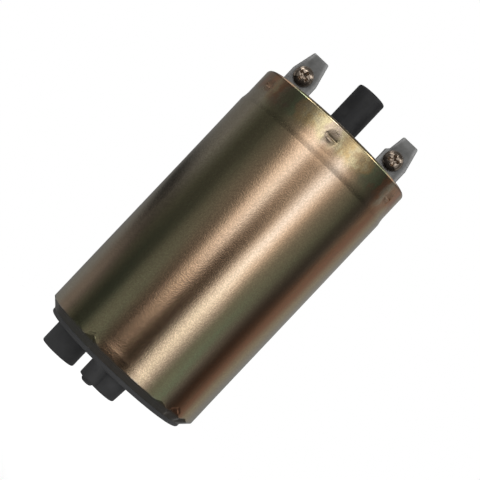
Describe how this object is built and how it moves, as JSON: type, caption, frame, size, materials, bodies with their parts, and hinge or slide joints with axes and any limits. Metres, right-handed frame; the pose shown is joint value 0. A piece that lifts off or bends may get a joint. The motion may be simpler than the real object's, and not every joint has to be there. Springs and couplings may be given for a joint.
{
  "type": "fuel pump",
  "caption": "Cylindrical in-tank electric fuel pump: crimped steel can, moulded inlet plate with necks at one end, outlet tube between screw terminals at the other.",
  "frame": {"origin": "centre of the inlet end plate's outer face, on the can's axis", "axes": "+Z along the can's axis towards the outlet; +X through the positive terminal; -Y is the side that the screw heads face"},
  "size_m": [0.038, 0.038, 0.083],
  "materials": {
    "zinc_plated_steel": "yellow chromate, satin",
    "black_plastic": "moulded, matte",
    "grey_plastic": "moulded",
    "impeller_plastic": "moulded phenolic",
    "cream_plastic": "moulded",
    "seal_rubber": "O-ring",
    "sintered_bronze": "sintered, oiled",
    "ferrite": "ground ferrite",
    "spring_steel": "bright",
    "ground_steel": "ground",
    "core_steel": "laminated",
    "enamelled_copper": "enamelled wire",
    "carbon": "pressed carbon",
    "terminal_plate": "satin plated",
    "screw_plate": "bronze passivated",
    "bare_copper": "stranded",
    "brass_metal": "turned"
  },
  "bodies": {
    "housing": {"can": "zinc_plated_steel", "inlet_cover": "black_plastic", "pump_body": "grey_plastic", "pump_seal": "seal_rubber", "thrust_pad": "ground_steel", "lower_bush": "sintered_bronze", "front_magnet": "ferrite", "rear_magnet": "ferrite", "left_magnet_clip": "spring_steel", "right_magnet_clip": "spring_steel", "outlet_cover": "black_plastic", "cover_seal": "seal_rubber", "upper_bush": "sintered_bronze", "positive_terminal": "terminal_plate", "negative_terminal": "terminal_plate", "positive_screw": "screw_plate", "negative_screw": "screw_plate", "positive_brush_spring": "spring_steel", "negative_brush_spring": "spring_steel", "positive_brush_lead": "bare_copper", "negative_brush_lead": "bare_copper", "check_spring": "spring_steel", "check_retainer": "black_plastic", "relief_spring": "spring_steel", "relief_plug": "brass_metal"},
    "rotor": {"shaft": "ground_steel", "armature_core": "core_steel", "lower_insulator": "cream_plastic", "upper_insulator": "cream_plastic", "armature_winding": "enamelled_copper", "commutator_hub": "impeller_plastic", "commutator_bars": "carbon", "impeller": "impeller_plastic"},
    "positive_brush": {"positive_brush": "carbon"},
    "negative_brush": {"negative_brush": "carbon"},
    "check_poppet": {"check_valve": "brass_metal"},
    "relief_ball": {"relief_ball": "ground_steel"}
  },
  "joints": [
    {"name": "rotor_spin", "type": "hinge", "parent": "housing", "child": "rotor", "pos_m": [0, 0, 0.03], "axis": [0, 0, 1], "continuous": true},
    {"name": "positive_brush_slide", "type": "slide", "parent": "housing", "child": "positive_brush", "axis": [0, 0, 1], "range_m": [0, 0.002], "stiffness_N_per_m": 150, "springref_m": -0.0001, "deforming": ["positive_brush_spring", "positive_brush_lead"]},
    {"name": "negative_brush_slide", "type": "slide", "parent": "housing", "child": "negative_brush", "axis": [0, 0, 1], "range_m": [0, 0.002], "stiffness_N_per_m": 150, "springref_m": -0.0001, "deforming": ["negative_brush_spring", "negative_brush_lead"]},
    {"name": "check_valve_slide", "type": "slide", "parent": "housing", "child": "check_poppet", "axis": [0, 0, 1], "range_m": [0, 0.002], "stiffness_N_per_m": 60, "springref_m": -0.0001, "deforming": ["check_spring"]},
    {"name": "relief_ball_slide", "type": "slide", "parent": "housing", "child": "relief_ball", "axis": [0, 0, -1], "range_m": [0, 0.0012], "stiffness_N_per_m": 60, "springref_m": -0.0001, "deforming": ["relief_spring"]}
  ]
}
